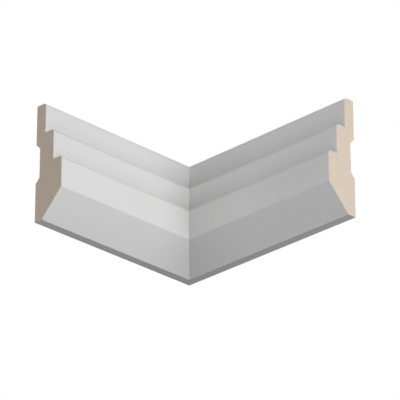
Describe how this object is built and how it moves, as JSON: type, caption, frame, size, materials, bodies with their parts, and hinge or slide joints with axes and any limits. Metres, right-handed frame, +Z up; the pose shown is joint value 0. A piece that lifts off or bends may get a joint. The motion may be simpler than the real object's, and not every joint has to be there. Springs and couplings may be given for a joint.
{
  "type": "mitred cornice moulding corner",
  "caption": "Inside corner of a stepped, splayed cornice moulding in white-faced fibreboard, with square cut ends, to trim the corner of a room.",
  "frame": {"origin": "foot of the corner line where the two wall faces meet, at the level of the underside", "axes": "+Z up; +X along the right length, away from the corner; -Y along the left length, away from the corner; the backs lie on the planes y = 0 and x = 0"},
  "size_m": [0.1357, 0.1257, 0.075],
  "materials": {
    "faced_fibreboard": "matt white primer on the front, top and underside, raw board on the cut ends and back"
  },
  "bodies": {
    "root": {"left_length": "faced_fibreboard", "right_length": "faced_fibreboard"}
  },
  "joints": []
}
